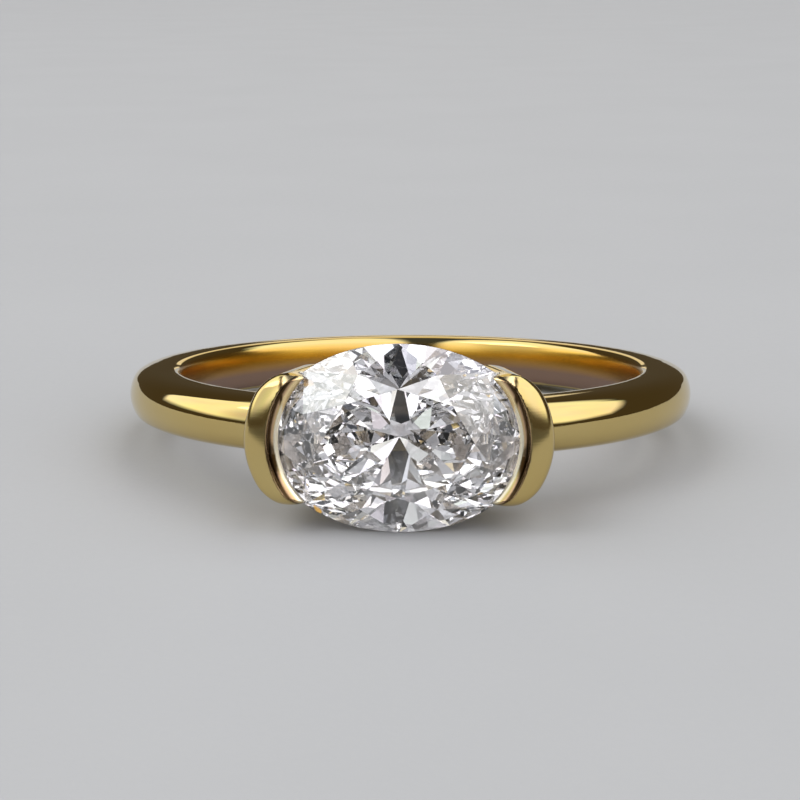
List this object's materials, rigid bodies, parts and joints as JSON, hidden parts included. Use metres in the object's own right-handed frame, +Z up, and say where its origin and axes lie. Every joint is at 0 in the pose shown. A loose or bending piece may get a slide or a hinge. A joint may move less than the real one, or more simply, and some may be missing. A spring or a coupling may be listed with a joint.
{
  "type": "oval moissanite ring",
  "caption": "Polished yellow gold ring with a domed band and a half bezel whose two crescent walls hold an oval brilliant moissanite lengthwise along the band.",
  "frame": {"origin": "middle of the bounding box's base, on the surface that the ring lies on", "axes": "+Z up from the surface; the stone faces -Y and a little up; X runs along the stone's length"},
  "size_m": [0.0208, 0.0226, 0.006],
  "materials": {
    "gold": "polished yellow gold",
    "moissanite": "clear faceted moissanite"
  },
  "bodies": {
    "root": {"setting": "gold", "stone": "moissanite"}
  },
  "joints": []
}
